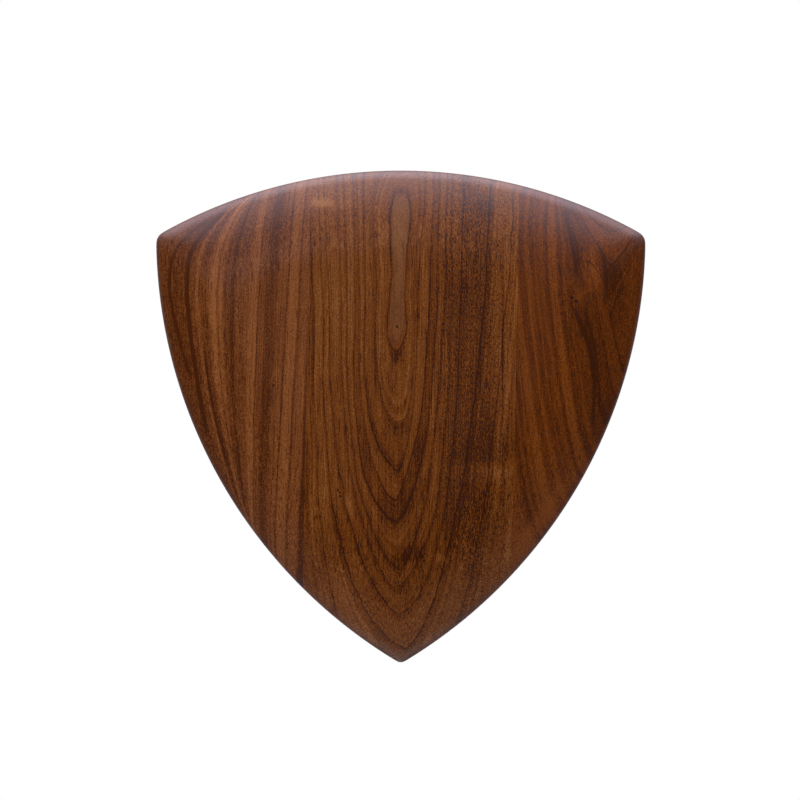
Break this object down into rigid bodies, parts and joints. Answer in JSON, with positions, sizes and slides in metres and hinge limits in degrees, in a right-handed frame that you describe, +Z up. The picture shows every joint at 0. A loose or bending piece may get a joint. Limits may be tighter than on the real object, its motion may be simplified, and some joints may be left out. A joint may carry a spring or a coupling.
{
  "type": "shield wall plaque",
  "caption": "Shield-shaped solid walnut wall plaque with three bowed sides, a softly rounded front, edge-glued dowelled boards and a keyhole hanger let into the back.",
  "frame": {"origin": "on the flat back face, at mid width and halfway up between the top of the bow and the bottom point", "axes": "+X to the right seen from the front, +Y out of the back towards the wall, +Z up; the front faces -Y"},
  "size_m": [0.3, 0.036, 0.3016],
  "materials": {
    "walnut_centre": "satin oiled walnut, flat-sawn",
    "walnut_left": "satin oiled walnut, rift-sawn",
    "walnut_right": "satin oiled walnut, slanting grain",
    "beech": "raw beech, turned",
    "hanger_steel": "zinc plated sheet",
    "screw_steel": "zinc plated"
  },
  "bodies": {
    "root": {"centre_board": "walnut_centre", "left_board": "walnut_left", "right_board": "walnut_right", "left_dowel_upper": "beech", "left_dowel_middle": "beech", "left_dowel_lower": "beech", "right_dowel_upper": "beech", "right_dowel_middle": "beech", "right_dowel_lower": "beech", "keyhole_hanger": "hanger_steel", "hanger_screw_upper": "screw_steel", "hanger_screw_lower": "screw_steel"}
  },
  "joints": []
}
